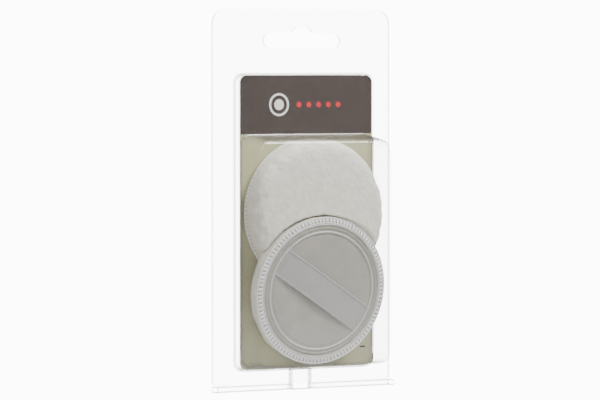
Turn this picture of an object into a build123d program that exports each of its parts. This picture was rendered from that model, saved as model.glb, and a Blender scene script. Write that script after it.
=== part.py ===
"""Hanging clear clamshell pack with a printed card and two round cosmetic powder puffs.

The pack stands upright on its hinge bead: X is its width, Z its height, and its front faces -Y.
Two clear leaves fold together at the bead along the bottom edge. The front leaf has a raised
panel that holds the card, and a deep pocket over the card that holds the puffs. The back leaf
has a shallow plug that nests in the panel. Depths are measured forward from the parting plane
between the leaves. All sizes are in millimetres, and the origin is the middle of the footprint.
"""

import os
from math import cos, pi, radians, sin

from build123d import *

os.makedirs("parts", exist_ok=True)

# Clear sheet and outline of the two leaves
sheet = 0.4
pack_width = 83.0
flange_bottom = 2.55
flange_top = 152.6
top_corner = 6.0
bottom_corner = 1.5
leaf_gap = 0.1
flange_depth = leaf_gap + sheet

# Hinge bead and standing foot
bead_back = -flange_depth
bead_front = 4.5
bead_corner = 1.2
leaf_clearance = 0.3
foot_width = 9.4
foot_depth = 3.4
foot_offset = -1.7

# Card
card_width = 61.8
card_bottom = 8.9
card_height = 117.3
card_thickness = 0.4
card_corner = 3.0
card_front = 4.1
header_height = 23.5
ink = 0.07

# Raised panel and plug
panel_front = 4.7
panel_margin = 0.7
panel_corner = 3.5
plug_front = 3.6
plug_margin = 0.15

# Puff pocket
pocket_depth = 19.7
pocket_base_width = 61.8
pocket_face_width = 61.2
pocket_corner = 4.5
pocket_edge = 1.5
pocket_base_low = card_bottom + 0.9
pocket_base_high = card_bottom + 93.6
pocket_face_low = card_bottom + 1.6
pocket_face_high = card_bottom + 91.4

# Hang slot: a wide slot with a hump over its middle
slot_length = 36.0
slot_height = 5.7
slot_low = 137.2
hump_width = 10.0
hump_height = 3.2

# Puffs
cover_radius = 29.7
rim_radius = 29.6
rim_inner = 28.1
rim_front = 0.7
rim_back = 0.9
shoulder_radius = 28.9
shoulder_height = 1.0
belly_height = 1.6
dome_power = 5.0
facing = 0.35
cover_thickness = 1.2
outer_ridge_radius = 26.9
inner_ridge_radius = 23.8
ridge_width = 1.3
ridge_height = 0.45
ribbon_width = 12.0
ribbon_half_length = 22.2
ribbon_sheet = 0.25
ribbon_lift = 0.02
tack_inset = 1.6
tack_width = 0.9

front_puff_tilt = 7.5
front_puff_offset = 0.3
front_puff_height = card_bottom + 31.3
front_puff_depth = card_front + 10.3
front_puff_thickness = 7.4
front_ribbon_angle = -32.0
front_ribbon_rise = 1.3

rear_puff_height = card_bottom + 62.2
rear_puff_depth = card_front + 1.3
rear_puff_thickness = 10.8
rear_ribbon_angle = 140.0
rear_ribbon_rise = 0.35
puff_gap = 0.45

# The parting plane lies behind the middle of the pack's depth
parting_y = (pocket_depth - flange_depth) / 2
card_top = card_bottom + card_height
header_bottom = card_top - header_height


def depth_plane(depth):
    """Upright sketch plane at a depth: its x is X, its y is Z, and it faces the front."""
    return Plane(origin=(0, parting_y - depth, 0), x_dir=(1, 0, 0), z_dir=(0, -1, 0))


def rounded_panel(width, low, high, corner):
    """Rounded rectangle on the pack's centreline between two heights, in the active sketch."""
    with Locations((0, (low + high) / 2)):
        RectangleRounded(width, high - low, corner)


def leaf_outline():
    """Outline of a leaf's flange with its hang slot cut out, in the active sketch."""
    middle = (flange_bottom + flange_top) / 2
    with Locations((0, middle)):
        Rectangle(pack_width, flange_top - flange_bottom)
    corners = vertices().group_by(Axis.Y)
    fillet(corners[-1], radius=top_corner)
    fillet(corners[0], radius=bottom_corner)
    with Locations((0, slot_low + slot_height / 2)):
        SlotOverall(slot_length, slot_height, mode=Mode.SUBTRACT)
    arm_top = slot_low + slot_height
    half_hump = hump_width / 2
    with BuildLine() as hump:
        Line((-half_hump, arm_top - 0.4), (-half_hump, arm_top + 0.4))
        ThreePointArc(
            (-half_hump, arm_top + 0.4), (0, arm_top + hump_height), (half_hump, arm_top + 0.4)
        )
        Line((half_hump, arm_top + 0.4), (half_hump, arm_top - 0.4))
        Line((half_hump, arm_top - 0.4), (-half_hump, arm_top - 0.4))
    make_face(hump.edges(), mode=Mode.SUBTRACT)


def finish_piece(piece, node):
    """Label a finished piece and write it out."""
    piece.part.label = node
    export_step(piece.part, f"parts/{node}.step")


# ---------------------------------------------------------------- front leaf
with BuildPart() as front_shell:
    with BuildSketch(depth_plane(leaf_gap)):
        leaf_outline()
    extrude(amount=sheet)
    # Raised panel over the card
    with BuildSketch(depth_plane(leaf_gap)):
        rounded_panel(
            card_width + 2 * panel_margin,
            card_bottom - panel_margin,
            card_top + panel_margin,
            panel_corner,
        )
    extrude(amount=panel_front - leaf_gap, taper=1)
    # Standing foot under the panel
    with BuildSketch(depth_plane(leaf_gap)):
        with Locations((foot_offset, card_bottom / 2)):
            Rectangle(foot_width, card_bottom)
    extrude(amount=foot_depth - leaf_gap)
    # Pocket, drafted most at its top wall
    with BuildSketch(depth_plane(panel_front - sheet)):
        rounded_panel(pocket_base_width, pocket_base_low, pocket_base_high, pocket_corner)
    with BuildSketch(depth_plane(pocket_depth)):
        rounded_panel(pocket_face_width, pocket_face_low, pocket_face_high, pocket_corner)
    loft(ruled=True)
    fillet(faces().sort_by(Axis.Y)[0].edges(), radius=pocket_edge)
    # Hollow the foot, the panel and the pocket from behind
    with BuildSketch(depth_plane(leaf_gap)):
        with Locations((foot_offset, (sheet + card_bottom) / 2)):
            Rectangle(foot_width - 2 * sheet, card_bottom - sheet)
    extrude(amount=foot_depth - leaf_gap - sheet, mode=Mode.SUBTRACT)
    with BuildSketch(depth_plane(leaf_gap)):
        rounded_panel(
            card_width + 2 * (panel_margin - sheet),
            card_bottom - panel_margin + sheet,
            card_top + panel_margin - sheet,
            panel_corner - sheet,
        )
    extrude(amount=panel_front - sheet - leaf_gap, mode=Mode.SUBTRACT)
    with BuildSketch(depth_plane(panel_front - 2 * sheet)):
        rounded_panel(
            pocket_base_width - 2 * sheet,
            pocket_base_low + sheet,
            pocket_base_high - sheet,
            pocket_corner - sheet,
        )
    with BuildSketch(depth_plane(pocket_depth - sheet)):
        rounded_panel(
            pocket_face_width - 2 * sheet,
            pocket_face_low + sheet,
            pocket_face_high - sheet,
            pocket_corner - sheet,
        )
    loft(ruled=True, mode=Mode.SUBTRACT)
finish_piece(front_shell, "front_shell")

# Flattened bead of rolled sheet that the two leaves fold about, as high as the flange's lower edge
bead_height = flange_bottom
bead_length = bead_front - bead_back
bead_y = parting_y - (bead_front + bead_back) / 2
bead_plane = Plane(
    origin=(-pack_width / 2, bead_y, bead_height / 2), x_dir=(0, 1, 0), z_dir=(1, 0, 0)
)
with BuildPart() as hinge_bead:
    with BuildSketch(bead_plane):
        RectangleRounded(bead_length, bead_height, bead_corner)
        RectangleRounded(
            bead_length - 2 * sheet,
            bead_height - 2 * sheet,
            bead_corner - sheet,
            mode=Mode.SUBTRACT,
        )
    extrude(amount=pack_width)
    # The foot passes through the bead
    with Locations((foot_offset, bead_y, bead_height / 2)):
        Box(foot_width, 2 * bead_length, 2 * bead_height, mode=Mode.SUBTRACT)
finish_piece(hinge_bead, "hinge_bead")

# ---------------------------------------------------------------- back leaf
with BuildPart() as back_shell:
    with BuildSketch(depth_plane(-flange_depth)):
        leaf_outline()
        # The leaf stops short of the bead, so that it can turn about it
        with Locations((0, flange_bottom)):
            Rectangle(pack_width, 2 * leaf_clearance, mode=Mode.SUBTRACT)
    extrude(amount=sheet)
    plug_width = card_width + 2 * (panel_margin - sheet - plug_margin)
    plug_low = card_bottom - panel_margin + sheet + plug_margin
    plug_high = card_top + panel_margin - sheet - plug_margin
    with BuildSketch(depth_plane(-flange_depth)):
        rounded_panel(plug_width, plug_low, plug_high, panel_corner - sheet)
    extrude(amount=plug_front + flange_depth, taper=2)
    with BuildSketch(depth_plane(-flange_depth)):
        rounded_panel(
            plug_width - 2 * sheet, plug_low + sheet, plug_high - sheet, panel_corner - 2 * sheet
        )
    extrude(amount=plug_front + flange_depth - sheet, taper=2, mode=Mode.SUBTRACT)
finish_piece(back_shell, "back_shell")

# ---------------------------------------------------------------- card and its print
with BuildPart() as insert_card:
    with BuildSketch(depth_plane(card_front - card_thickness)):
        rounded_panel(card_width, card_bottom, card_top, card_corner)
    extrude(amount=card_thickness)
finish_piece(insert_card, "insert_card")

with BuildPart() as card_header_print:
    with BuildSketch(depth_plane(card_front)):
        rounded_panel(card_width, card_bottom, card_top, card_corner)
        with Locations((0, (card_bottom + header_bottom) / 2)):
            Rectangle(card_width, header_bottom - card_bottom, mode=Mode.SUBTRACT)
    extrude(amount=ink)
finish_piece(card_header_print, "card_header_print")

with BuildPart() as card_body_print:
    with BuildSketch(depth_plane(card_front)):
        rounded_panel(card_width, card_bottom, card_top, card_corner)
        with Locations((0, (card_top + header_bottom) / 2)):
            Rectangle(card_width, card_top - header_bottom, mode=Mode.SUBTRACT)
    extrude(amount=ink)
finish_piece(card_body_print, "card_body_print")

emblem_height = header_bottom + 0.5 * header_height
with BuildPart() as emblem_rings:
    with BuildSketch(depth_plane(card_front + ink)):
        with Locations((-13.0, emblem_height)):
            Circle(4.6)
            Circle(3.7, mode=Mode.SUBTRACT)
            Circle(2.2)
    extrude(amount=ink)
finish_piece(emblem_rings, "emblem_rings")

with BuildPart() as emblem_dots:
    with BuildSketch(depth_plane(card_front + ink)):
        with Locations((5.5, emblem_height)):
            with GridLocations(4.6, 0, 5, 1):
                Circle(1.15)
    extrude(amount=ink)
finish_piece(emblem_dots, "emblem_dots")

with BuildPart() as fine_print_bar:
    with BuildSketch(depth_plane(card_front + ink)):
        with Locations((card_width / 2 - 4.5, card_bottom + 7.5)):
            Rectangle(2.4, 0.7)
    extrude(amount=ink)
finish_piece(fine_print_bar, "fine_print_bar")


# ---------------------------------------------------------------- puffs
def dome(radius, thickness, steps=9):
    """Points of a puff's pile side from its middle out to its belly, on a rounded-box curve."""
    power = 2 / dome_power
    points = []
    for step in range(steps + 1):
        angle = pi / 2 * step / steps
        reach = radius * sin(angle) ** power
        drop = belly_height + (thickness - belly_height) * max(cos(angle), 0) ** power
        points.append((reach, -drop))
    return points


def section_plane(face):
    """Plane through a puff's axis: its x is the radius and its y the height over the facing."""
    return Plane(origin=face.origin, x_dir=face.x_dir, z_dir=face.x_dir.cross(face.z_dir))


def puff_axis(face):
    """Axis of a puff, pointing out of its satin facing."""
    return Axis(face.origin, face.z_dir)


def turned(face, degrees):
    """The same plane with its x direction turned about its normal."""
    angle = radians(degrees)
    return Plane(
        origin=face.origin,
        x_dir=face.x_dir * cos(angle) + face.y_dir * sin(angle),
        z_dir=face.z_dir,
    )


def pillow(face, radius, thickness, seam_radius, top):
    """Closed pillow under a facing: domed pile side, belly, and a flat top out to the seam."""
    with BuildPart() as body:
        with BuildSketch(section_plane(face)):
            with BuildLine():
                points = dome(radius, thickness)
                Spline(*points, tangents=((1, 0), (0, 1)))
                Polyline(points[-1], (seam_radius, -shoulder_height), (seam_radius, top))
                Polyline((seam_radius, top), (0, top), (0, -thickness))
            make_face()
        revolve(axis=puff_axis(face))
    return body.part


def make_puff(prefix, face, thickness, ribbon_angle, ribbon_rise, dent, core_dent):
    """Make one puff's pieces. face lies on the facing's back and points out of the facing."""
    outer = pillow(face, cover_radius, thickness, rim_inner - 0.05, 0.0)
    inner = pillow(
        face,
        cover_radius - cover_thickness,
        thickness - cover_thickness,
        rim_inner - cover_thickness,
        0.0,
    )
    if dent is not None:
        outer = outer - dent
        inner = inner - core_dent

    with BuildPart() as velour_cover:
        add(outer)
        add(inner, mode=Mode.SUBTRACT)
    finish_piece(velour_cover, f"{prefix}_velour_cover")

    with BuildPart() as foam_core:
        add(inner)
    finish_piece(foam_core, f"{prefix}_foam_core")

    with BuildPart() as satin_facing:
        with BuildSketch(face):
            Circle(rim_inner - 0.05)
        extrude(amount=facing)
    finish_piece(satin_facing, f"{prefix}_satin_facing")

    with BuildPart() as overlock_edge:
        with BuildSketch(section_plane(face)):
            with Locations(((rim_inner + rim_radius) / 2, (rim_front - rim_back) / 2)):
                RectangleRounded(rim_radius - rim_inner, rim_front + rim_back, 0.6)
        revolve(axis=puff_axis(face))
    finish_piece(overlock_edge, f"{prefix}_overlock_edge")

    for name, radius in (("outer_ridge", outer_ridge_radius), ("inner_ridge", inner_ridge_radius)):
        with BuildPart() as ridge:
            with BuildSketch(section_plane(face)):
                with BuildLine():
                    ThreePointArc(
                        (radius - ridge_width / 2, facing),
                        (radius, facing + ridge_height),
                        (radius + ridge_width / 2, facing),
                    )
                    Line((radius + ridge_width / 2, facing), (radius - ridge_width / 2, facing))
                make_face()
            revolve(axis=puff_axis(face))
        finish_piece(ridge, f"{prefix}_{name}")

    strap = turned(face, ribbon_angle)
    low = facing + ribbon_lift
    high = low + ribbon_sheet
    with BuildPart() as ribbon:
        with BuildSketch(section_plane(strap)):
            with BuildLine():
                ThreePointArc(
                    (-ribbon_half_length, low), (0, low + ribbon_rise), (ribbon_half_length, low)
                )
                ThreePointArc(
                    (-ribbon_half_length, high), (0, high + ribbon_rise), (ribbon_half_length, high)
                )
                Line((-ribbon_half_length, low), (-ribbon_half_length, high))
                Line((ribbon_half_length, low), (ribbon_half_length, high))
            make_face()
        extrude(amount=ribbon_width / 2, both=True)
    finish_piece(ribbon, f"{prefix}_ribbon")

    tack_place = ribbon_half_length - tack_inset
    tack_lift = ribbon_rise * (1 - (tack_place - tack_width) ** 2 / ribbon_half_length**2)
    with BuildPart() as ribbon_tacks:
        with BuildSketch(strap.offset(high + tack_lift)):
            with GridLocations(2 * tack_place, 0, 2, 1):
                Rectangle(tack_width, ribbon_width - 2.0)
        extrude(amount=0.2)
    finish_piece(ribbon_tacks, f"{prefix}_ribbon_tacks")


tilt = radians(front_puff_tilt)
front_face = Plane(
    origin=(front_puff_offset, parting_y - front_puff_depth, front_puff_height),
    x_dir=(1, 0, 0),
    z_dir=(0, -cos(tilt), -sin(tilt)),
)
rear_face = Plane(
    origin=(0, parting_y - rear_puff_depth, rear_puff_height), x_dir=(1, 0, 0), z_dir=(0, 1, 0)
)

# The front puff leans on the rear one and presses its lower half flat
front_reach = 6.0
dent_solid = pillow(
    front_face,
    rim_radius + puff_gap,
    front_puff_thickness + puff_gap,
    rim_radius + puff_gap,
    front_reach,
)
core_dent_solid = pillow(
    front_face,
    rim_radius + puff_gap + cover_thickness,
    front_puff_thickness + puff_gap + cover_thickness,
    rim_radius + puff_gap + cover_thickness,
    front_reach,
)

make_puff(
    "front_puff",
    front_face,
    front_puff_thickness,
    front_ribbon_angle,
    front_ribbon_rise,
    None,
    None,
)
make_puff(
    "rear_puff",
    rear_face,
    rear_puff_thickness,
    rear_ribbon_angle,
    rear_ribbon_rise,
    dent_solid,
    core_dent_solid,
)
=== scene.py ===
"""Looks for a clear clamshell pack with a printed card and two round powder puffs."""

from math import cos, pi, radians, sin

import bmesh
import bpy
import numpy as np
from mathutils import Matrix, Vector, noise


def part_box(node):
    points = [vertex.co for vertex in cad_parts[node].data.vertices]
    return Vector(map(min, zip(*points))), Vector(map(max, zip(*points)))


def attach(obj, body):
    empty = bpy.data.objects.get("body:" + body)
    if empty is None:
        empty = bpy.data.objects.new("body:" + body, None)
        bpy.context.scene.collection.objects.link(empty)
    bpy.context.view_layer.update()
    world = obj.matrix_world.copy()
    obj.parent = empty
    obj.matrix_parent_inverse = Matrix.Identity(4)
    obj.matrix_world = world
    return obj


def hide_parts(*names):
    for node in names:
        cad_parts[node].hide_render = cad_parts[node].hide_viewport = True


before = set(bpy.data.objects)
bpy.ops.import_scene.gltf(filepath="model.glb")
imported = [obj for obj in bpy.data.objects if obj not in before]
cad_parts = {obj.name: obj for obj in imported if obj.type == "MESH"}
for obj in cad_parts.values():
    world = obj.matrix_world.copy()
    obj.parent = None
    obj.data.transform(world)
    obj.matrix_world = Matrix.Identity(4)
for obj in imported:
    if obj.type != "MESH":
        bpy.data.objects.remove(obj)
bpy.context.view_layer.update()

MM = 0.001

# ---------------------------------------------------------------- sizes, in millimetres
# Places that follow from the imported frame
front_low, front_high = (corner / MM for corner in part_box("front_shell"))
back_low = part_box("back_shell")[0] / MM
card_low, card_high = (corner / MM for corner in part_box("insert_card"))

# Clear leaves. A depth is forward of the parting plane between them
SHEET = 0.4
LEAF_GAP = 0.1
PARTING_Y = front_high.y + LEAF_GAP
PACK_HALF = front_high.x
FLANGE_TOP = front_high.z
FLANGE_BOTTOM = 2.55
FLANGE_DEPTH = LEAF_GAP + SHEET
TOP_CORNER = 6.0
BOTTOM_CORNER = 1.5

# Panel, plug and pocket: outlines are half width, low, high and corner, and each wall has a
# fillet at its root and a rounded nose at its face
CARD_HALF = card_high.x
PANEL_DEPTH = 4.7
PANEL_MARGIN = 0.7
PANEL_DRAFT = 0.08
PANEL_CORNER = 3.5
PANEL_FILLET, PANEL_NOSE = 0.5, 0.32
PLUG_DEPTH = 3.6
PLUG_ROOT_MARGIN, PLUG_FACE_MARGIN = 0.15, -0.05
PLUG_FILLET, PLUG_NOSE = 0.3, 0.6
POCKET_DEPTH = PARTING_Y - front_low.y
POCKET_BASE = (30.9, card_low.z + 0.9, card_low.z + 93.6, 4.5)
POCKET_FACE = (30.6, card_low.z + 1.6, card_low.z + 91.4, 4.5)
POCKET_FILLET, POCKET_NOSE = 0.28, 1.5
# A wall's row of faces is a bend if it is shorter than this, and a flat wall if it is longer
BEND_STEP = 0.3
WALL_RUN = 5.0

SLOT_HALF = 18.0
SLOT_LOW = 137.2
SLOT_HEIGHT = 5.7
HUMP_HALF = 5.0
HUMP_HEIGHT = 3.2
# The hump's ends stand this far over the slot's arms
HUMP_STEP = 0.4
ARC_STEPS = 12
CORNER_STEPS = 8
LEAST_CORNER = 0.15

FOOT = (4.7, 0.0, card_low.z - 0.4, 0.7)
FOOT_DEPTH = 3.4
FOOT_NOSE = 0.5
FOOT_OFFSET = -1.7

BEAD_WALL = 0.8 * SHEET
# The bead's section is a superellipse, squarer across its depth than over its height
BEAD_DEPTH_POWER, BEAD_HEIGHT_POWER = 0.62, 0.8
# It is squeezed a little between its ends, unevenly
BEAD_SQUEEZE, BEAD_RIPPLE, BEAD_RIPPLES = 0.05, 0.015, 9.0

# Puffs: radius, and height over the back of the satin facing
COVER_RADIUS = 29.7
BELLY = 1.6
DOME_POWER = 7.0
SEAM_RADIUS = 28.0
TOP_GAP = 0.02
OUTER_RIDGE = 26.9
INNER_RIDGE = 23.8
RIDGE_HALF_WIDTH = 0.42
RIDGE_FOOT, RIDGE_HEIGHT = 0.12, 0.70
RIDGE_PINCH, RIDGE_DRIFT = 0.16, 0.10
FACING_RADIUS = 28.1
FACING_HEIGHT = 0.34
FACING_THICKNESS = 0.16
# Gathers grow from this radius out to the rim, and waves from this one in to the middle
GATHERS_FROM, GATHER_HEIGHT = 14.0, 0.2
WAVES_FROM, WAVE_HEIGHT = 24, 0.35
# Noise along a ridge and a rim is read round circles of these radii, so that it closes
NOISE_RING, FOLD_RING = 24, 54.6
VALLEY_DEPTH, VALLEY_WIDTH, VALLEY_OFFSET = 0.30, 0.4, 0.95
SWELL_HEIGHT, SWELL_WIDTH = 0.30, 0.42
RIBBON_HALF_WIDTH = 6.0
RIBBON_HALF_LENGTH = 22.2
RIBBON_TUCK = 1.0
RIBBON_HEIGHT = 0.50
RIBBON_THICKNESS = 0.22
RIBBON_CROWN, RIBBON_WAVE = 0.10, 0.05
RIBBON_DIP, DIP_REACH = 0.55, 1.2
# The selvedge's place and width are shares of the ribbon's half width
SELVEDGE_HEIGHT, SELVEDGE_PLACE, SELVEDGE_WIDTH = 0.24, 0.90, 0.06
HEM_SLOPE, HEM_WIDTH = 0.9, 0.4
TACKS = 9
TACK_HALF_LENGTH, TACK_RADIUS = 0.36, 0.12
TACK_INSET, TACK_MARGIN = 0.6, 1.0
TACK_LIFT, TACK_ARCH, TACK_STEPS = 0.02, 0.10, 4
BINDING_RADIUS, BINDING_HEIGHT = 28.7, -0.15
BINDING_HALF_WIDTH, BINDING_HALF_HEIGHT = 0.75, 0.5
STITCHES = 110
STRANDS = (-0.34, 0.0, 0.34)
STRAND_RADIUS = 0.2
STITCH_LEAN = radians(1.2)
# Radius and height of a stitch's thread, from its inner end over the rim and round to the back
STITCH_SECTION = (
    (27.5, 0.30), (27.85, 0.56), (28.5, 0.46), (29.1, 0.14), (29.5, -0.2), (29.4, -0.6),
    (28.8, -0.75),
)
# Stitches stray from their even places and lengths by up to these shares and millimetres
STITCH_STRAY, STITCH_REACH, STITCH_REACH_STRAY = 0.14, 0.1, 0.2
# A bundle's outer strands lie lower, by this share of their distance from its middle
STRAND_DROP = 0.12
# Radius, height and thickness of the chains along the rim's outside and inside
CHAINS = ((29.55, 0.16, 0.24), (27.5, 0.62, 0.16))
CHAIN_SWAY = 0.07
FRONT_TILT = radians(7.5)
FRONT_THICKNESS = 7.4
REAR_THICKNESS = 11.8
FOAM_SHRINK, FOAM_SEAM = 1.6, SEAM_RADIUS - 1.2
PUFF_GAP = 0.12
EDGE_SLOPE = 1.0
REAR_LEAST = 0.3
PILE_CLUMPS = 0.22
PILE_SIZES = (2.2, 0.9)

# Cloth: it settles at a larger scale, and no point moves further than the cap
CLOTH_SCALE = 0.01
CLOTH_FRAMES = 20
CLOTH_PRESSURE = 4
CLOTH_CAP = 0.3


# ---------------------------------------------------------------- mesh helpers
def at_depth(x, z, depth):
    """Point of the pack, in metres, from its place across, up and forward of the parting plane."""
    return Vector((x, PARTING_Y - depth, z)) * MM


def make_piece(name, points, faces, material, body, stands_for=()):
    """Make a smooth mesh piece of points in metres, and put it on its body."""
    mesh = bpy.data.meshes.new(name)
    mesh.from_pydata([tuple(point) for point in points], [], faces)
    mesh.update()
    mesh.materials.append(material)
    mesh.polygons.foreach_set("use_smooth", [True] * len(mesh.polygons))
    piece = bpy.data.objects.new(name, mesh)
    bpy.context.scene.collection.objects.link(piece)
    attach(piece, body)
    if stands_for:
        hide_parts(*stands_for)
    return piece


def apply_modifiers(piece):
    """Turn a piece's modifiers into mesh."""
    graph = bpy.context.evaluated_depsgraph_get()
    baked = bpy.data.meshes.new_from_object(piece.evaluated_get(graph))
    piece.modifiers.clear()
    piece.data = baked


def face_outward(piece):
    """Turn the faces of a closed piece to look outward."""
    mesh = bmesh.new()
    mesh.from_mesh(piece.data)
    bmesh.ops.recalc_face_normals(mesh, faces=mesh.faces)
    mesh.to_mesh(piece.data)
    mesh.free()


def thicken(piece, thickness, even_normals=False, rim_material=0):
    """Give a surface its sheet's thickness, in millimetres."""
    solidify = piece.modifiers.new("sheet", "SOLIDIFY")
    solidify.thickness = thickness * MM
    solidify.offset = -1.0
    solidify.use_even_offset = True
    solidify.material_offset_rim = rim_material
    if even_normals:
        weighted = piece.modifiers.new("normals", "WEIGHTED_NORMAL")
        weighted.keep_sharp = True
        weighted.weight = 100
    apply_modifiers(piece)


def ring_faces(first, second, count):
    """Quads between two rings of points that start at those indices."""
    return [
        (first + i, first + (i + 1) % count, second + (i + 1) % count, second + i)
        for i in range(count)
    ]


def tube(path, radius, sides):
    """Points and faces of a tube with closed ends along a path."""
    path = np.asarray(path, float)
    tangents = np.gradient(path, axis=0)
    tangents /= np.linalg.norm(tangents, axis=1)[:, None]
    guide = np.cross(tangents[0], tangents[-1])
    if np.linalg.norm(guide) < 1e-6:
        guide = np.cross(tangents[0], (0.3, 0.5, 0.81))
    guide /= np.linalg.norm(guide)
    points = []
    for place, tangent in zip(path, tangents):
        side = guide - tangent * guide.dot(tangent)
        side /= np.linalg.norm(side)
        other = np.cross(tangent, side)
        for k in range(sides):
            angle = 2 * pi * k / sides
            points.append(place + radius * (cos(angle) * side + sin(angle) * other))
    faces = []
    for row in range(len(path) - 1):
        faces += ring_faces(row * sides, (row + 1) * sides, sides)
    faces.append(tuple(range(sides)))
    faces.append(tuple(range((len(path) - 1) * sides, len(path) * sides))[::-1])
    return points, faces


def gather(parts):
    """Join lists of (points, faces) into one."""
    points, faces = [], []
    for some_points, some_faces in parts:
        start = len(points)
        points += list(some_points)
        faces += [tuple(start + index for index in face) for face in some_faces]
    return points, faces


# ---------------------------------------------------------------- materials
def new_material(name, colour, roughness, **sockets):
    """A principled material with its even values set, and its parts for more nodes."""
    material = bpy.data.materials.new(name)
    material.use_nodes = True
    nodes, links = material.node_tree.nodes, material.node_tree.links
    shader = nodes["Principled BSDF"]
    shader.inputs["Base Color"].default_value = (*colour, 1)
    shader.inputs["Roughness"].default_value = roughness
    for socket, value in sockets.items():
        shader.inputs[socket.replace("_", " ")].default_value = value
    return material, nodes, links, shader


def texture(nodes, links, kind, scale, stretch=(1, 1, 1), turn=(0, 0, 0), **values):
    """A texture node in the piece's own metres, scaled, stretched and turned."""
    place = nodes.new("ShaderNodeTexCoord")
    mapping = nodes.new("ShaderNodeMapping")
    mapping.inputs["Scale"].default_value = stretch
    mapping.inputs["Rotation"].default_value = turn
    node = nodes.new(kind)
    node.inputs["Scale"].default_value = scale
    for name, value in values.items():
        node.inputs[name.replace("_", " ")].default_value = value
    links.new(place.outputs["Object"], mapping.inputs["Vector"])
    links.new(mapping.outputs["Vector"], node.inputs["Vector"])
    return node


def value_output(node):
    """A texture's number output, whatever its name is."""
    for name in ("Fac", "Factor", "Distance"):
        if name in node.outputs:
            return node.outputs[name]
    return node.outputs[0]


def ramp(nodes, links, source, low, high, colours):
    """Map a number through a two-stop ramp to a colour."""
    node = nodes.new("ShaderNodeValToRGB")
    node.color_ramp.elements[0].position = low
    node.color_ramp.elements[1].position = high
    node.color_ramp.elements[0].color = (*colours[0], 1)
    node.color_ramp.elements[1].color = (*colours[1], 1)
    links.new(source, node.inputs["Fac"])
    return node.outputs["Color"]


def add_bump(nodes, links, shader, source, distance, strength=1.0):
    """Bump a shader by a number, over whatever bump it already has."""
    bump = nodes.new("ShaderNodeBump")
    bump.inputs["Distance"].default_value = distance * MM
    bump.inputs["Strength"].default_value = strength
    links.new(source, bump.inputs["Height"])
    normal = shader.inputs["Normal"]
    if normal.links:
        links.new(normal.links[0].from_socket, bump.inputs["Normal"])
    links.new(bump.outputs["Normal"], normal)


def shade(colour, factor):
    """A colour made lighter or darker."""
    return tuple(min(1.0, channel * factor) for channel in colour)


def mottle(nodes, links, shader, colour, scale, spread, detail=3.0):
    """Vary a shader's colour about its own colour by a soft noise."""
    cloud = texture(nodes, links, "ShaderNodeTexNoise", scale, Detail=detail)
    tint = ramp(
        nodes, links, value_output(cloud), 0.3, 0.7,
        (shade(colour, 1 - spread), shade(colour, 1 + spread)),
    )
    links.new(tint, shader.inputs["Base Color"])


def roughen(nodes, links, shader, scale, low, high):
    """Vary a shader's roughness by a soft noise."""
    cloud = texture(nodes, links, "ShaderNodeTexNoise", scale, Detail=2.0)
    spread = nodes.new("ShaderNodeMapRange")
    spread.inputs["To Min"].default_value = low
    spread.inputs["To Max"].default_value = high
    links.new(value_output(cloud), spread.inputs["Value"])
    links.new(spread.outputs["Result"], shader.inputs["Roughness"])


def clear_sheet_material(name, stops, gloss, polish=0.06, ripples=0.5):
    """Thin clear sheet: lets light through, greys as it turns away (a painted shade for the dark
    that refraction gives at a slant), and mirrors lamps softly.
    """
    material = bpy.data.materials.new(name)
    material.use_nodes = True
    nodes, links = material.node_tree.nodes, material.node_tree.links
    nodes.remove(nodes["Principled BSDF"])
    output = nodes["Material Output"]
    through = nodes.new("ShaderNodeBsdfTransparent")
    mirror = nodes.new("ShaderNodeBsdfGlossy")
    mirror.inputs["Roughness"].default_value = polish
    mirror.inputs["Color"].default_value = (1, 1, 1, 1)
    wave = texture(nodes, links, "ShaderNodeTexNoise", scale=70.0, Detail=2.0)
    ripple = nodes.new("ShaderNodeBump")
    ripple.inputs["Distance"].default_value = 0.25 * MM
    ripple.inputs["Strength"].default_value = ripples
    links.new(value_output(wave), ripple.inputs["Height"])
    links.new(ripple.outputs["Normal"], mirror.inputs["Normal"])
    facing = nodes.new("ShaderNodeLayerWeight")
    facing.inputs["Blend"].default_value = 0.5
    links.new(ripple.outputs["Normal"], facing.inputs["Normal"])
    # The see-through colour darkens as the sheet turns away: painted shade in place of refraction
    tint = nodes.new("ShaderNodeValToRGB")
    elements = tint.color_ramp.elements
    while len(elements) < len(stops):
        elements.new(0.5)
    for element, (place, colour) in zip(elements, stops):
        element.position = place
        element.color = (*colour, 1)
    links.new(facing.outputs["Facing"], tint.inputs["Fac"])
    links.new(tint.outputs["Color"], through.inputs["Color"])
    # A curve like Schlick's, alike from both sides of the sheet
    glance = nodes.new("ShaderNodeMath")
    glance.operation = "POWER"
    glance.inputs[1].default_value = 4.0
    links.new(facing.outputs["Facing"], glance.inputs[0])
    level = nodes.new("ShaderNodeMath")
    level.operation = "MULTIPLY_ADD"
    level.inputs[1].default_value = 0.85
    level.inputs[2].default_value = gloss
    links.new(glance.outputs["Value"], level.inputs[0])
    mix = nodes.new("ShaderNodeMixShader")
    links.new(level.outputs["Value"], mix.inputs["Fac"])
    links.new(through.outputs["BSDF"], mix.inputs[1])
    links.new(mirror.outputs["BSDF"], mix.inputs[2])
    links.new(mix.outputs["Shader"], output.inputs["Surface"])
    return material


def velour_material(name, colour):
    """Short cotton pile: matt, soft at the edges, faintly mottled."""
    material, nodes, links, shader = new_material(
        name, colour, roughness=0.95, Sheen_Weight=0.35, Sheen_Roughness=0.5,
        Specular_IOR_Level=0.15,
    )
    mottle(nodes, links, shader, colour, scale=240.0, spread=0.085, detail=5.0)
    clumps = texture(nodes, links, "ShaderNodeTexNoise", scale=900.0, Detail=4.0)
    add_bump(nodes, links, shader, value_output(clumps), distance=0.35, strength=0.55)
    tips = texture(nodes, links, "ShaderNodeTexVoronoi", scale=3200.0)
    add_bump(nodes, links, shader, value_output(tips), distance=0.12, strength=0.6)
    return material


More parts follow.
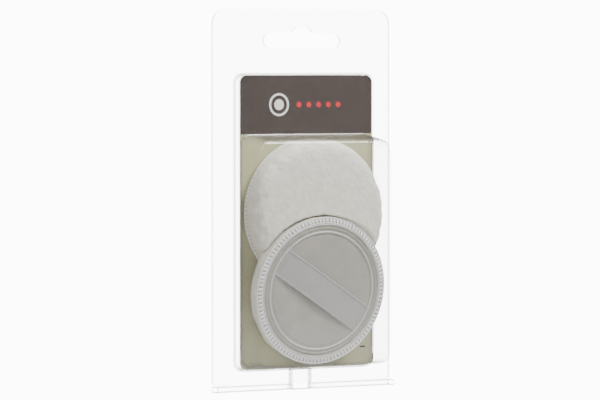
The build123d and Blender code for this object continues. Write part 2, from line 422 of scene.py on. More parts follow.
def satin_material(name, colour, roughness=0.30):
    """Satin: long shiny floats across a fine weave."""
    material, nodes, links, shader = new_material(
        name, colour, roughness=roughness, Sheen_Weight=0.15, Anisotropic=0.4,
        Specular_IOR_Level=0.6,
    )
    mottle(nodes, links, shader, colour, scale=160.0, spread=0.06)
    roughen(nodes, links, shader, scale=300.0, low=roughness, high=roughness + 0.14)
    weave = texture(
        nodes, links, "ShaderNodeTexWave", scale=2600.0, stretch=(1, 1, 0.35),
        turn=(0, radians(32), 0),
    )
    add_bump(nodes, links, shader, value_output(weave), distance=0.03, strength=0.4)
    puckers = texture(nodes, links, "ShaderNodeTexNoise", scale=380.0, Detail=3.0)
    add_bump(nodes, links, shader, value_output(puckers), distance=0.12, strength=0.35)
    return material


def thread_material(name, colour):
    """Bright trilobal sewing thread."""
    material, nodes, links, shader = new_material(
        name, colour, roughness=0.38, Sheen_Weight=0.2, Specular_IOR_Level=0.5
    )
    mottle(nodes, links, shader, colour, scale=900.0, spread=0.06)
    twist = texture(nodes, links, "ShaderNodeTexWave", scale=2200.0, turn=(0.6, 0.5, 0.8))
    add_bump(nodes, links, shader, value_output(twist), distance=0.05, strength=0.5)
    return material


def ribbon_material(name, colour, turn):
    """Woven ribbon: fine ribs across its length and a finer warp."""
    material, nodes, links, shader = new_material(
        name, colour, roughness=0.42, Sheen_Weight=0.15, Specular_IOR_Level=0.45
    )
    mottle(nodes, links, shader, colour, scale=200.0, spread=0.03)
    ribs = texture(nodes, links, "ShaderNodeTexWave", scale=900.0, turn=(0, turn, 0))
    add_bump(nodes, links, shader, value_output(ribs), distance=0.05, strength=0.35)
    warp = texture(nodes, links, "ShaderNodeTexWave", scale=1900.0, turn=(0, turn + pi / 2, 0))
    add_bump(nodes, links, shader, value_output(warp), distance=0.03, strength=0.3)
    return material


def foam_material(name, colour):
    """Open-cell sponge."""
    material, nodes, links, shader = new_material(name, colour, roughness=0.9)
    mottle(nodes, links, shader, colour, scale=300.0, spread=0.05)
    cells = texture(nodes, links, "ShaderNodeTexVoronoi", scale=1500.0)
    add_bump(nodes, links, shader, value_output(cells), distance=0.3, strength=0.8)
    return material


def print_material(name, colour, roughness, spread):
    """Ink on coated board: even, with a faint grain and a soft gloss."""
    material, nodes, links, shader = new_material(
        name, colour, roughness=roughness, Coat_Weight=0.15, Coat_Roughness=0.25
    )
    mottle(nodes, links, shader, colour, scale=60.0, spread=spread, detail=6.0)
    roughen(nodes, links, shader, scale=500.0, low=roughness - 0.05, high=roughness + 0.07)
    fibres = texture(
        nodes, links, "ShaderNodeTexNoise", scale=1400.0, stretch=(1, 1, 0.3), Detail=3.0
    )
    add_bump(nodes, links, shader, value_output(fibres), distance=0.02, strength=0.5)
    return material


# The plain sheet's stops grey its see-through colour towards a slant: painted shade in place of
# refraction
CLEAR = clear_sheet_material(
    "clear_sheet",
    (
        (0.2, (0.99, 0.99, 0.99)),
        (0.5, (0.97, 0.965, 0.97)),
        (0.8, (0.8, 0.8, 0.79)),
        (1, (0.62, 0.62, 0.61)),
    ),
    gloss=0.028,
)
# The bends' stops are greyer than the sheet's: painted shade lines along the folds, standing in
# for refraction
CLEAR_BEND = clear_sheet_material(
    "clear_bend",
    ((0.1, (0.84, 0.84, 0.83)), (0.6, (0.66, 0.66, 0.65)), (1, (0.5, 0.5, 0.5))),
    gloss=0.12,
    polish=0.22,
)
# The long walls grey a little less towards a slant, still painted shade
CLEAR_WALL = clear_sheet_material(
    "clear_wall",
    ((0.2, (0.99, 0.99, 0.985)), (0.6, (0.965, 0.96, 0.95)), (1, (0.70, 0.70, 0.69))),
    gloss=0.03,
    polish=0.12,
    ripples=0.1,
)
# Cut edges are near black: painted shade for the dark line that refraction gives along a cut edge
CLEAR_CUT = clear_sheet_material(
    "clear_cut_edge", ((0.1, (0.16, 0.16, 0.155)), (1, (0.08, 0.08, 0.08))), gloss=0.12
)
SHEET_MATERIALS = (CLEAR, CLEAR_BEND, CLEAR_CUT, CLEAR_WALL)
FLAT, BEND, CUT, WALL = range(4)
VELOUR = velour_material("velour", (0.74, 0.72, 0.62))
SATIN = satin_material("satin", (0.362, 0.346, 0.302))
# Lighter copy of the satin for the ridge rolls: painted highlight along the ridges
RIDGE_SATIN_PAINTED_HIGHLIGHT = satin_material("ridge_satin_painted_highlight", (0.58, 0.57, 0.545), roughness=0.16)
THREAD = thread_material("thread", (0.95, 0.95, 0.92))
TACK_THREAD = thread_material("tack_thread", (0.42, 0.42, 0.41))
# Darker copy of the velour under the stitches: partly the turned fabrics' own grey, partly painted
# shade in the gaps between stitches
BINDING_AND_GAP_SHADE = velour_material("binding", (0.44, 0.43, 0.40))
RIBBON_COLOUR = (0.375, 0.371, 0.358)
FOAM = foam_material("foam", (0.84, 0.80, 0.68))
PAPER = print_material("paperboard", (0.80, 0.79, 0.74), roughness=0.55, spread=0.02)
HEADER = print_material("header_ink", (0.056, 0.041, 0.037), roughness=0.38, spread=0.05)
BODY = print_material("body_ink", (0.44, 0.43, 0.265), roughness=0.45, spread=0.03)
WHITE = print_material("white_ink", (0.82, 0.82, 0.80), roughness=0.45, spread=0.02)
RED = print_material("red_ink", (0.62, 0.03, 0.04), roughness=0.42, spread=0.03)
BLACK = print_material("black_ink", (0.03, 0.03, 0.025), roughness=0.45, spread=0.03)

for node, material in (
    ("insert_card", PAPER),
    ("card_header_print", HEADER),
    ("card_body_print", BODY),
    ("emblem_rings", WHITE),
    ("emblem_dots", RED),
    ("fine_print_bar", BLACK),
):
    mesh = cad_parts[node].data
    mesh.materials.clear()
    mesh.materials.append(material)


# ---------------------------------------------------------------- clear leaves
def rounded_outline(half_width, low, high, corner):
    """Points (x, z) of a rounded rectangle, anticlockwise seen from the front."""
    corner = max(corner, LEAST_CORNER)
    centres = (
        (half_width - corner, high - corner, 0),
        (corner - half_width, high - corner, 90),
        (corner - half_width, low + corner, 180),
        (half_width - corner, low + corner, 270),
    )
    points = []
    for x, z, start in centres:
        for step in range(CORNER_STEPS + 1):
            angle = radians(start + 90 * step / CORNER_STEPS)
            points.append((x + corner * cos(angle), z + corner * sin(angle)))
    return points


def flange_outline(low):
    """Outline of a leaf: rounder corners at the top than at the bottom."""
    top = rounded_outline(PACK_HALF, low, FLANGE_TOP, TOP_CORNER)
    bottom = rounded_outline(PACK_HALF, low, FLANGE_TOP, BOTTOM_CORNER)
    return top[: len(top) // 2] + bottom[len(bottom) // 2 :]


def slot_outline():
    """Outline of the hang slot: round-ended arms with a hump over the middle."""
    radius = SLOT_HEIGHT / 2
    middle = SLOT_LOW + radius
    arm_top = SLOT_LOW + SLOT_HEIGHT
    rise = HUMP_HEIGHT - HUMP_STEP
    hump_radius = (HUMP_HALF**2 + rise**2) / (2 * rise)
    half_angle = np.arcsin(HUMP_HALF / hump_radius)
    points = []
    for step in range(ARC_STEPS + 1):
        angle = radians(-90 + 180 * step / ARC_STEPS)
        points.append((SLOT_HALF - radius + radius * cos(angle), middle + radius * sin(angle)))
    for step in range(ARC_STEPS + 1):
        angle = pi / 2 - half_angle + 2 * half_angle * step / ARC_STEPS
        points.append(
            (hump_radius * cos(angle), arm_top + HUMP_HEIGHT - hump_radius * (1 - sin(angle)))
        )
    for step in range(ARC_STEPS + 1):
        angle = radians(90 + 180 * step / ARC_STEPS)
        points.append((radius - SLOT_HALF + radius * cos(angle), middle + radius * sin(angle)))
    return points


def wall_levels(base, face, start, end, root, nose, steps=5):
    """Rings of a formed wall, from a fillet at its root to a rounded nose at its face."""
    levels = []
    for step in range(steps + 1 if root else 1):
        angle = pi / 2 * step / steps
        levels.append((-root * (1 - sin(angle)), start + root * (1 - cos(angle))))
    for step in range(steps + 1):
        angle = pi / 2 * step / steps
        levels.append((nose * (1 - cos(angle)), end - nose * (1 - sin(angle))))
    rings = []
    for inset, depth in levels:
        share = (depth - start) / (end - start)
        half, low, high, corner = (a + (b - a) * share for a, b in zip(base, face))
        rings.append((half - inset, low + inset, high - inset, corner - inset, depth))
    return rings


def formed_leaf(low, flange_front, walls, extra_walls=()):
    """A leaf's front surface, flange with slot and formed walls: points, faces, and materials."""
    mesh = bmesh.new()

    def loop(outline, depth, shift=0.0):
        return [mesh.verts.new(at_depth(x + shift, z, depth)) for x, z in outline]

    def rim(corners):
        count = len(corners)
        return [mesh.edges.new((corners[i], corners[(i + 1) % count])) for i in range(count)]

    def raise_walls(rings, shift=0.0, all_bends=False):
        loops = [loop(rounded_outline(*ring[:4]), ring[4], shift) for ring in rings]
        for outer, inner in zip(loops, loops[1:]):
            count = len(outer)
            # The row's run is measured at a point on its first corner
            probe = CORNER_STEPS // 4
            run = (outer[probe].co - inner[probe].co).length / MM
            # Short rows take the greyer bend tint, painted shade lines along the folds
            kind = FLAT
            if all_bends or run < BEND_STEP:
                kind = BEND
            elif run > WALL_RUN:
                kind = WALL
            for i in range(count):
                after = (i + 1) % count
                face = mesh.faces.new((outer[i], outer[after], inner[after], inner[i]))
                face.material_index = kind
        mesh.faces.new(loops[-1])
        return loops[0]

    edges = rim(loop(flange_outline(low), flange_front))
    edges += rim(loop(slot_outline(), flange_front))
    first = raise_walls(walls)
    count = len(first)
    edges += [mesh.edges.get((first[i], first[(i + 1) % count])) for i in range(count)]
    bmesh.ops.triangle_fill(mesh, use_beauty=True, use_dissolve=False, edges=edges)
    for shift, rings in extra_walls:
        raise_walls(rings, shift, all_bends=True)
    mesh.normal_update()
    for face in mesh.faces:
        if abs(face.normal.y) > 0.999 and face.normal.y > 0:
            face.normal_flip()
    points = [vertex.co.copy() for vertex in mesh.verts]
    mesh.verts.index_update()
    faces = [tuple(vertex.index for vertex in face.verts) for face in mesh.faces]
    kinds = [face.material_index for face in mesh.faces]
    mesh.free()
    return points, faces, kinds


def make_leaf(name, formed, body, stands_for):
    """A clear leaf with its bends and cut edges, as thick as the sheet."""
    points, faces, kinds = formed
    leaf = make_piece(name, points, faces, CLEAR, body, [stands_for])
    for material in SHEET_MATERIALS[1:]:
        leaf.data.materials.append(material)
    leaf.data.polygons.foreach_set("material_index", kinds)
    # The sheet's cut rims take the near-black cut-edge tint, painted shade
    thicken(leaf, SHEET, even_normals=True, rim_material=CUT)


def margin(half, low, high, corner, grow):
    """A rounded rectangle grown by a margin."""
    return (half + grow, low - grow, high + grow, corner)


card_rect = (CARD_HALF, card_low.z, card_high.z, PANEL_CORNER)
panel_rect = margin(*card_rect, PANEL_MARGIN)
panel_face = margin(*card_rect, PANEL_MARGIN - PANEL_DRAFT)
# The ledge at the pocket's sides is only as wide as the two roundings that share it
front_walls = wall_levels(
    panel_rect, panel_face, FLANGE_DEPTH, PANEL_DEPTH, PANEL_FILLET, PANEL_NOSE
)
front_walls += wall_levels(
    POCKET_BASE, POCKET_FACE, PANEL_DEPTH, POCKET_DEPTH, POCKET_FILLET, POCKET_NOSE
)
foot_walls = wall_levels(FOOT, FOOT, FLANGE_DEPTH, FOOT_DEPTH, 0.0, FOOT_NOSE, steps=3)
front_formed = formed_leaf(
    FLANGE_BOTTOM, FLANGE_DEPTH, front_walls, [(FOOT_OFFSET, foot_walls)]
)
make_leaf("front_leaf_sheet", front_formed, "front_leaf", "front_shell")

plug_rect = margin(*card_rect, PLUG_ROOT_MARGIN)
plug_face = margin(*card_rect, PLUG_FACE_MARGIN)
back_walls = wall_levels(
    plug_rect, plug_face, -LEAF_GAP, PLUG_DEPTH, PLUG_FILLET, PLUG_NOSE
)
back_formed = formed_leaf(back_low.z, -LEAF_GAP, back_walls)
make_leaf("back_leaf_sheet", back_formed, "back_leaf", "back_shell")


def hinge_bead():
    """The sheet rolled over and pressed flat along the bottom edge, on both sides of the foot."""
    bead_low, bead_high = (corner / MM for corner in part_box("hinge_bead"))
    back, front = PARTING_Y - bead_high.y, PARTING_Y - bead_low.y
    steps, along = 40, 30
    section = []
    for inset in (0.0, BEAD_WALL):
        half_depth = (front - back) / 2 - inset
        half_height = (bead_high.z - bead_low.z) / 2 - inset
        for step in range(steps):
            angle = 2 * pi * step / steps
            out, up = cos(angle), sin(angle)
            section.append((
                half_depth * np.sign(out) * abs(out) ** BEAD_DEPTH_POWER,
                half_height * np.sign(up) * abs(up) ** BEAD_HEIGHT_POWER,
            ))
    middle = ((back + front) / 2, (bead_low.z + bead_high.z) / 2)
    row = 2 * steps
    parts, cut = [], []
    # Two rolls, each from the foot's side out to the pack's side
    for side in (-1, 1):
        start, end = FOOT_OFFSET + side * FOOT[0], side * PACK_HALF
        points, faces = [], []
        for column in range(along + 1):
            share = (start + (end - start) * column / along) / PACK_HALF
            squeeze = BEAD_SQUEEZE * (1 - share**8)
            ripple = BEAD_RIPPLE * sin(BEAD_RIPPLES * pi * share) * (1 - share**2)
            pinch = 1 - squeeze - ripple
            for depth, height in section:
                points.append(at_depth(
                    PACK_HALF * share, middle[1] + height * pinch, middle[0] + depth * pinch
                ))
        for column in range(along):
            faces += ring_faces(column * row, (column + 1) * row, steps)
            faces += ring_faces(column * row + steps, (column + 1) * row + steps, steps)
        for column in (0, along):
            faces += ring_faces(column * row, column * row + steps, steps)
        parts.append((points, faces))
        count = sum(len(some_faces) for _, some_faces in parts)
        # The last faces are the roll's outer end
        cut += range(count - steps, count)
    points, faces = gather(parts)
    bead = make_piece(
        "hinge_bead_roll", points, faces, CLEAR, "front_leaf", ["hinge_bead"]
    )
    # The rolls' outer ends take the near-black cut-edge tint, painted shade
    bead.data.materials.append(CLEAR_CUT)
    face_outward(bead)
    for index in cut:
        bead.data.polygons[index].material_index = len(bead.data.materials) - 1


hinge_bead()


# ---------------------------------------------------------------- puffs
class Puff:
    """One puff's place: the back of its satin facing, and the directions across and out of it."""

    def __init__(self, prefix, body, centre, across, out, thickness, limit=None):
        self.prefix = prefix
        self.body = body
        self.centre = np.array(centre, float)
        self.across = np.array(across, float)
        self.out = np.array(out, float)
        self.up = np.cross(self.out, self.across)
        self.thickness = thickness
        self.limit = limit

    def place(self, radius, angle, height):
        """Point in millimetres at a radius and angle on the facing, and a height over it."""
        flat = self.across * (radius * cos(angle)) + self.up * (radius * sin(angle))
        return self.centre + flat + self.out * height

    def name(self, part):
        return f"{self.prefix}_{part}"


def wrinkle(point, size, seed):
    """Smooth noise in -1 to 1 at a size in millimetres."""
    return noise.noise(Vector(point) / size + Vector((seed, 2.3 * seed, -seed)))


def disc(puff, radii, heights, steps):
    """Points and faces of a disc from its rings, with heights(radius, angle) over the facing."""
    points = [puff.place(0, 0, heights(0.0, 0.0)) * MM]
    for radius in radii:
        for step in range(steps):
            angle = 2 * pi * step / steps
            points.append(puff.place(radius, angle, heights(radius, angle)) * MM)
    faces = [(0, 1 + (i + 1) % steps, 1 + i) for i in range(steps)]
    for ring in range(len(radii) - 1):
        faces += ring_faces(1 + ring * steps, 1 + (ring + 1) * steps, steps)
    return points, [face[::-1] for face in faces]


def dome(share, radius, thickness):
    """Radius and depth of a puff's pile side, from its middle (0) to its belly (1)."""
    reach = sin(pi / 2 * share)
    drop = (1 - min(reach, 1.0) ** DOME_POWER) ** (1 / DOME_POWER)
    return radius * reach, BELLY + (thickness - BELLY) * drop


def front_puff_back(x, z):
    """Depth of the front puff's pile side over a place on the pack, with a slope past its edge."""
    drop = FRONT_THICKNESS
    reach = 0.0
    # The tilt makes the height on the puff depend on the depth, so the two are found in rounds
    for _ in range(3):
        up = (z - FRONT_HEIGHT - drop * sin(FRONT_TILT)) / cos(FRONT_TILT)
        reach = ((x - FRONT_OFFSET) ** 2 + up * up) ** 0.5
        share = min(reach / COVER_RADIUS, 1.0) ** DOME_POWER
        drop = BELLY + (FRONT_THICKNESS - BELLY) * (1 - share) ** (1 / DOME_POWER)
    beyond = max(reach - COVER_RADIUS, 0.0)
    return FRONT_DEPTH + up * sin(FRONT_TILT) - drop * cos(FRONT_TILT) + EDGE_SLOPE * beyond


front_facing_low, front_facing_high = (
    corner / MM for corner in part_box("front_puff_satin_facing")
)
rear_facing_low, rear_facing_high = (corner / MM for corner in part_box("rear_puff_satin_facing"))
FACING = rear_facing_high.y - rear_facing_low.y
front_middle = (front_facing_low + front_facing_high) / 2
FRONT_OFFSET = front_middle.x
FRONT_DEPTH = PARTING_Y - front_middle.y - FACING / 2 * cos(FRONT_TILT)
FRONT_HEIGHT = front_middle.z + FACING / 2 * sin(FRONT_TILT)
REAR_DEPTH = PARTING_Y - rear_facing_low.y
REAR_HEIGHT = (rear_facing_low.z + rear_facing_high.z) / 2

front_puff = Puff(
    "front_puff",
    "front_puff",
    (FRONT_OFFSET, PARTING_Y - FRONT_DEPTH, FRONT_HEIGHT),
    (1, 0, 0),
    (0, -cos(FRONT_TILT), -sin(FRONT_TILT)),
    FRONT_THICKNESS,
)
rear_puff = Puff(
    "rear_puff",
    "front_leaf",
    (0, PARTING_Y - REAR_DEPTH, REAR_HEIGHT),
    (1, 0, 0),
    (0, 1, 0),
    REAR_THICKNESS,
    front_puff_back,
)


def press(puff, place, shrink=0.0):
    """Hold a point of the rear puff off the front one that leans on it."""
    if puff.limit is None:
        return place
    deepest = puff.limit(place[0], place[2]) - PUFF_GAP - shrink
    depth = PARTING_Y - place[1]
    if depth > deepest:
        place[1] = PARTING_Y - max(deepest, min(depth, REAR_DEPTH + REAR_LEAST))
    return place


def pillow_mesh(puff, shrink, seam, steps, rings):
    """Closed pillow behind a facing, and the points that stay put while it settles."""
    radius = COVER_RADIUS - shrink
    thickness = puff.thickness - shrink
    profile = [dome(ring / rings, radius, thickness) for ring in range(1, rings + 1)]
    tuck = [
        (radius - 0.25, BELLY - 0.45),
        (seam + 0.35, BELLY - 0.95),
        (seam, 0.25),
        (seam - 0.6, TOP_GAP),
    ]
    profile += tuck
    points = [press(puff, puff.place(0, 0, -thickness), shrink)]
    for reach, drop in profile:
        for step in range(steps):
            points.append(press(puff, puff.place(reach, 2 * pi * step / steps, -drop), shrink))
    faces = [(0, 1 + (i + 1) % steps, 1 + i) for i in range(steps)]
    for ring in range(len(profile) - 1):
        faces += ring_faces(1 + ring * steps, 1 + (ring + 1) * steps, steps)
    last = 1 + (len(profile) - 1) * steps
    points.append(puff.place(0, 0, -TOP_GAP))
    faces += [(last + i, last + (i + 1) % steps, len(points) - 1) for i in range(steps)]
    held = list(range(1 + (len(profile) - len(tuck)) * steps, len(points)))
    return points, faces, held


def settle(puff, points, faces, held):
    """Fill a cover with air in a cloth simulation, its seam held, and cap how far it moves."""
    scene = bpy.context.scene
    mesh = bpy.data.meshes.new("settling")
    mesh.from_pydata([tuple(point * CLOTH_SCALE) for point in points], [], faces)
    trial = bpy.data.objects.new("settling", mesh)
    scene.collection.objects.link(trial)
    face_outward(trial)
    trial.vertex_groups.new(name="held").add(held, 1.0, "REPLACE")
    cloth = trial.modifiers.new("cloth", "CLOTH")
    cloth.settings.quality = 4
    cloth.settings.mass = 0.3
    cloth.settings.tension_stiffness = cloth.settings.compression_stiffness = 15
    cloth.settings.shear_stiffness = 5
    cloth.settings.bending_stiffness = 0.3
    cloth.settings.shrink_min = -0.06
    cloth.settings.use_pressure = True
    cloth.settings.uniform_pressure_force = CLOTH_PRESSURE
    cloth.settings.vertex_group_mass = "held"
    cloth.settings.effector_weights.gravity = 0
    cloth.collision_settings.use_collision = False
    cloth.point_cache.frame_end = CLOTH_FRAMES
    for number in range(1, CLOTH_FRAMES + 1):
        scene.frame_set(number)
    settled = trial.evaluated_get(bpy.context.evaluated_depsgraph_get()).data
    moved = np.array([tuple(vertex.co) for vertex in settled.vertices]) / CLOTH_SCALE
    scene.frame_set(1)
    bpy.data.objects.remove(trial)
    shift = moved - np.array(points)
    length = np.linalg.norm(shift, axis=1)[:, None]
    shift *= np.minimum(1.0, CLOTH_CAP / np.maximum(length, 1e-9))
    return [press(puff, point) for point in np.array(points) + shift]


def add_pile(cover, seed):
    """Subdivide a settled cover once, and give it the small clumps of its pile."""
    finer = cover.modifiers.new("finer", "SUBSURF")
    finer.levels = finer.render_levels = 1
    apply_modifiers(cover)
    count = len(cover.data.vertices)
    places, normals = np.empty(3 * count), np.empty(3 * count)
    cover.data.vertices.foreach_get("co", places)
    cover.data.vertices.foreach_get("normal", normals)
    places = places.reshape(-1, 3)
    clumps = [
        sum(0.5 * wrinkle(place / MM, size, seed) for size in PILE_SIZES) for place in places
    ]
    places += normals.reshape(-1, 3) * np.array(clumps)[:, None] * (PILE_CLUMPS * MM)
    cover.data.vertices.foreach_set("co", places.ravel())
    cover.data.update()


def facing_height(radius, angle, seed):
    """Height of the satin: soft waves, valleys beside the ridges, a swell, and gathers."""
    gathers = max(0.0, (radius - GATHERS_FROM) / GATHERS_FROM) ** 1.5
    place = (radius * cos(angle), radius * sin(angle), 0.0)
    x, y = FOLD_RING * cos(angle), FOLD_RING * sin(angle)
    folds = wrinkle((x, y, radius * 0.25), size=2.6, seed=seed)
    fade = max(0.0, 1 - radius / WAVES_FROM)
    waves = WAVE_HEIGHT * wrinkle(place, size=14.0, seed=seed + 3) * fade
    valley = 0.0
    for ridge in (INNER_RIDGE, OUTER_RIDGE):
        for side in (-VALLEY_OFFSET, VALLEY_OFFSET):
            valley -= VALLEY_DEPTH * np.exp(-(((radius - ridge - side) / VALLEY_WIDTH) ** 2))
    middle = (INNER_RIDGE + OUTER_RIDGE) / 2
    swell = SWELL_HEIGHT * np.exp(-(((radius - middle) / SWELL_WIDTH) ** 2))
    return FACING_HEIGHT + waves + GATHER_HEIGHT * gathers * folds + valley + swell


def make_facing(puff, seed):
    """Satin facing as a thin sheet."""
    rings = 64
    radii = [FACING_RADIUS * ((ring + 1) / rings) ** 0.75 for ring in range(rings)]
    points, faces = disc(
        puff, radii, lambda radius, angle: facing_height(radius, angle, seed), steps=220
    )
    piece = make_piece(
        puff.name("satin"), points, [face[::-1] for face in faces], SATIN, puff.body,
        [puff.name("satin_facing")],
    )
    thicken(piece, FACING_THICKNESS)
    puff.name("filling")


def make_ridge(puff, part, radius, seed):
    """One pressed ridge of the satin: a low roll with small gathers across it, in a lighter satin
    that paints a highlight along it.
    """
    steps, sides = 420, 9
    points, faces = [], []
    for step in range(steps):
        angle = 2 * pi * step / steps
        x, y = NOISE_RING * cos(angle), NOISE_RING * sin(angle)
        pinch = 1 + RIDGE_PINCH * wrinkle((2 * x, 2 * y, radius), size=2.3, seed=seed)
        drift = RIDGE_DRIFT * wrinkle((x, y, radius), size=11.0, seed=seed)
        for side in range(sides):
            turn = pi * side / (sides - 1)
            points.append(
                puff.place(
                    radius + drift + RIDGE_HALF_WIDTH * cos(turn),
                    angle,
                    RIDGE_FOOT + (RIDGE_HEIGHT * pinch) * sin(turn) ** 0.8,
                )
                * MM
            )
    for step in range(steps):
        row = ring_faces(step * sides, (step + 1) % steps * sides, sides)
        faces += [(a, d, c, b) for a, b, c, d in row]
    make_piece(
        puff.name(part + "_roll"), points, faces, RIDGE_SATIN_PAINTED_HIGHLIGHT, puff.body, [puff.name(part)]
    )


def make_binding(puff):
    """Turned edge of the fabrics, under the overlock stitches; its darker velour is partly the
    fabrics' own grey and partly painted shade in the gaps between the stitches.
    """
    steps, sides = 360, 10
    points, faces = [], []
    for step in range(steps):
        angle = 2 * pi * step / steps
        for side in range(sides):
            turn = 2 * pi * side / sides
            radius = BINDING_RADIUS + BINDING_HALF_WIDTH * cos(turn)
            height = BINDING_HEIGHT + BINDING_HALF_HEIGHT * sin(turn)
            points.append(puff.place(radius, angle, height) * MM)
    for step in range(steps):
        faces += ring_faces(step * sides, (step + 1) % steps * sides, sides)
    make_piece(puff.name("binding"), points, faces, BINDING_AND_GAP_SHADE, puff.body)


def make_edge(puff, seed):
    """Overlock stitches over the rim, each a bundle of strands, and the chains along it."""
    parts = []
    for stitch in range(STITCHES):
        stray = STITCH_STRAY * wrinkle((stitch, 0, 0), size=0.37, seed=seed)
        start = 2 * pi * (stitch + stray) / STITCHES
        reach_in = STITCH_REACH
        reach_in += STITCH_REACH_STRAY * wrinkle((stitch, 4, 0), size=0.61, seed=seed)
        for strand in STRANDS:
            path = []
            for index, (reach, height) in enumerate(STITCH_SECTION):
                if index == 0:
                    reach -= reach_in
                lean = STITCH_LEAN * index / (len(STITCH_SECTION) - 1)
                angle = start + lean + strand / reach
                path.append(puff.place(reach, angle, height - STRAND_DROP * abs(strand)))
            parts.append(tube(path, STRAND_RADIUS, sides=6))
    steps = 8
    turns = STITCHES * steps
    for radius, height, thickness in CHAINS:
        chain = []
        for index in range(turns + 1):
            angle = 2 * pi * index / turns
            sway = CHAIN_SWAY * cos(2 * pi * index / steps)
            chain.append(puff.place(radius + 0.5 * sway, angle, height + sway))
        parts.append(tube(chain, thickness, sides=8))
    points, faces = gather(parts)
    make_piece(
        puff.name("overlock"), [point * MM for point in points], faces, THREAD, puff.body,
        [puff.name("overlock_edge")],
    )


def ribbon_height(along, across, rise):
    """Height of the ribbon over the facing: arched between its ends, which dip to the satin."""
    share = along / (RIBBON_HALF_LENGTH + DIP_REACH)
    arch = rise * (1 - share**2)
    into_dip = (abs(along) - RIBBON_HALF_LENGTH + DIP_REACH) / (2 * DIP_REACH)
    dip = RIBBON_DIP * max(0.0, into_dip) ** 2
    crown = RIBBON_CROWN * (1 - (across / RIBBON_HALF_WIDTH) ** 2)
    return RIBBON_HEIGHT + arch + crown - dip


def make_ribbon(puff, degrees, rise, material, seed):
    """Finger ribbon across the facing, with its ends let in under the inner ridge."""
    direction = radians(degrees)
    columns, rows = 96, 61
    half = RIBBON_HALF_LENGTH + RIBBON_TUCK
    points, faces = [], []
    for column in range(columns + 1):
        along = -half + 2 * half * column / columns
        for row in range(rows):
            across = RIBBON_HALF_WIDTH * (2 * row / (rows - 1) - 1)
            edge = abs(across) / RIBBON_HALF_WIDTH
            lift = ribbon_height(along, across, rise)
            lift += RIBBON_WAVE * wrinkle((along, across, 0), size=6.0, seed=seed)
            lift += SELVEDGE_HEIGHT * max(0.0, 1 - abs(edge - SELVEDGE_PLACE) / SELVEDGE_WIDTH)
            lift -= HEM_SLOPE * max(0.0, abs(across) - RIBBON_HALF_WIDTH + HEM_WIDTH)
            radius = (along**2 + across**2) ** 0.5
            angle = direction + np.arctan2(across, along)
            points.append(puff.place(radius, angle, lift) * MM)
    for column in range(columns):
        start, after = column * rows, (column + 1) * rows
        for row in range(rows - 1):
            faces.append((start + row, after + row, after + row + 1, start + row + 1))
    piece = make_piece(
        puff.name("strap"), points, faces, material, puff.body, [puff.name("ribbon")]
    )
    thicken(piece, RIBBON_THICKNESS)
    puff.name("satin")
    make_tacks(puff, direction, rise, seed)


def make_tacks(puff, direction, rise, seed):
    """Rows of small stitches that hold the ribbon's two ends."""
    parts = []
    for end in (-1, 1):
        along = end * (RIBBON_HALF_LENGTH - TACK_INSET)
        for index in range(TACKS):
            across = (RIBBON_HALF_WIDTH - TACK_MARGIN) * (2 * (index + 0.5) / TACKS - 1)
            path = []
            for step in range(TACK_STEPS + 1):
                share = step / TACK_STEPS
                place = across + TACK_HALF_LENGTH * (2 * share - 1)
                lift = ribbon_height(along, place, rise) + TACK_LIFT + TACK_ARCH * sin(pi * share)
                radius = (along**2 + place**2) ** 0.5
                path.append(puff.place(radius, direction + np.arctan2(place, along), lift))
            parts.append(tube(path, TACK_RADIUS, sides=6))
    points, faces = gather(parts)
    return make_piece(
        puff.name("tack_stitches"), [point * MM for point in points], faces, TACK_THREAD,
        puff.body, [puff.name("ribbon_tacks")],
    )


def make_puff(puff, ribbon_degrees, ribbon_rise, seed):
    """All the pieces of one puff."""
    points, faces, _ = pillow_mesh(puff, FOAM_SHRINK, FOAM_SEAM, steps=96, rings=36)
    filling = make_piece(
        puff.name("filling"), [point * MM for point in points], faces, FOAM, puff.body,
        [puff.name("foam_core")],
    )
    face_outward(filling)
    points, faces, held = pillow_mesh(puff, 0.0, SEAM_RADIUS, steps=150, rings=44)
    points = settle(puff, points, faces, held)
    cover = make_piece(
        puff.name("velour"), [point * MM for point in points], faces, VELOUR, puff.body,
        [puff.name("velour_cover")],
    )
    face_outward(cover)
    add_pile(cover, seed)
    make_facing(puff, seed)
    make_ridge(puff, "outer_ridge", OUTER_RIDGE, seed)
    make_ridge(puff, "inner_ridge", INNER_RIDGE, seed + 1)
    make_binding(puff)
    make_edge(puff, seed)
    turn = radians(-ribbon_degrees)
    material = ribbon_material(puff.name("ribbon"), RIBBON_COLOUR, turn)
    make_ribbon(puff, ribbon_degrees, ribbon_rise, material, seed)


make_puff(front_puff, ribbon_degrees=-32.0, ribbon_rise=1.3, seed=5)
make_puff(rear_puff, ribbon_degrees=140.0, ribbon_rise=0.35, seed=11)


# ---------------------------------------------------------------- stage, light and camera
FLOOR_COLOUR = (0.50, 0.50, 0.495)
FLOOR_HALF = 4.0
# The floor lies a hair under the foot, so that the two don't share a plane
FLOOR_DROP = 0.3
# The surround's strength to the light, and to the eye
SURROUND = 0.30
BACKDROP = 12.0


def for_camera_rays(nodes, links, plain, seen, target):
    """Show one shader to the eye and another to the light, alike from every side."""
    path = nodes.new("ShaderNodeLightPath")
    mix = nodes.new("ShaderNodeMixShader")
    links.new(path.outputs["Is Camera Ray"], mix.inputs["Fac"])
    links.new(plain, mix.inputs[1])
    links.new(seen, mix.inputs[2])
    links.new(mix.outputs["Shader"], target)


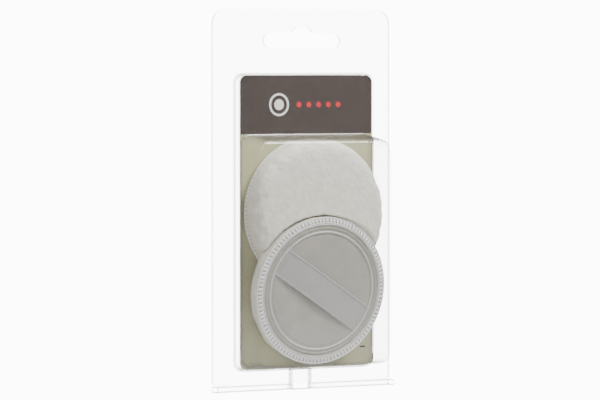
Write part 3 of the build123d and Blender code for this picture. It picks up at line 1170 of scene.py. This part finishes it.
def studio():
    """Pale floor, soft lamps and a white surround that burns out where it is looked at."""
    corners = [
        (x * FLOOR_HALF, y * FLOOR_HALF, -FLOOR_DROP * MM)
        for x, y in ((-1, -1), (1, -1), (1, 1), (-1, 1))
    ]
    mesh = bpy.data.meshes.new("floor")
    mesh.from_pydata(corners, [], [(0, 1, 2, 3)])
    material, nodes, links, shader = new_material("floor", FLOOR_COLOUR, roughness=0.8)
    mottle(nodes, links, shader, FLOOR_COLOUR, scale=0.8, spread=0.004)
    # The eye looks on to the surround, so that a leaf that hangs lower isn't hidden
    onward = nodes.new("ShaderNodeBsdfTransparent")
    surface = nodes["Material Output"].inputs["Surface"]
    for_camera_rays(nodes, links, shader.outputs["BSDF"], onward.outputs["BSDF"], surface)
    mesh.materials.append(material)
    floor = bpy.data.objects.new("floor", mesh)
    bpy.context.scene.collection.objects.link(floor)

    world = bpy.data.worlds.new("studio")
    world.use_nodes = True
    nodes, links = world.node_tree.nodes, world.node_tree.links
    surround = nodes["Background"]
    surround.inputs["Color"].default_value = (1, 1, 1, 1)
    surround.inputs["Strength"].default_value = SURROUND
    glow = nodes.new("ShaderNodeBackground")
    glow.inputs["Color"].default_value = (1, 1, 1, 1)
    glow.inputs["Strength"].default_value = BACKDROP
    surface = nodes["World Output"].inputs["Surface"]
    for_camera_rays(
        nodes, links, surround.outputs["Background"], glow.outputs["Background"], surface
    )
    bpy.context.scene.world = world

    aim = Vector((0, 0, 0.075))
    # Name, place in metres, side of the square in metres, and watts
    lamps = (
        ("key", (0.24, -0.32, 0.50), 0.20, 5.9),
        ("fill", (-0.9, -0.6, 0.7), 0.8, 7.5),
        ("top", (0.0, -0.10, 1.2), 0.5, 9.0),
        ("back", (0.2, 1.0, 0.6), 0.8, 4.0),
    )
    for name, place, size, power in lamps:
        lamp = bpy.data.lights.new(name, "AREA")
        lamp.shape = "SQUARE"
        lamp.size = size
        lamp.energy = power
        holder = bpy.data.objects.new(name, lamp)
        holder.location = place
        holder.rotation_euler = (aim - Vector(place)).to_track_quat("-Z", "Y").to_euler()
        bpy.context.scene.collection.objects.link(holder)


def aim_camera():
    """Long-lens camera to the left of the pack and a little above it."""
    azimuth, elevation, distance = radians(-31.3), radians(1.84), 1.605
    aim = Vector((-0.0065, 0.0, 0.0764))
    away = Vector(
        (sin(azimuth) * cos(elevation), -cos(azimuth) * cos(elevation), sin(elevation))
    )
    lens = bpy.data.cameras.new("camera")
    lens.sensor_width = 36.0
    lens.lens = 241.2
    lens.clip_end = 20.0
    camera = bpy.data.objects.new("camera", lens)
    camera.location = aim + away * distance
    camera.rotation_euler = (-away).to_track_quat("-Z", "Y").to_euler()
    bpy.context.scene.collection.objects.link(camera)
    bpy.context.scene.camera = camera


studio()
aim_camera()
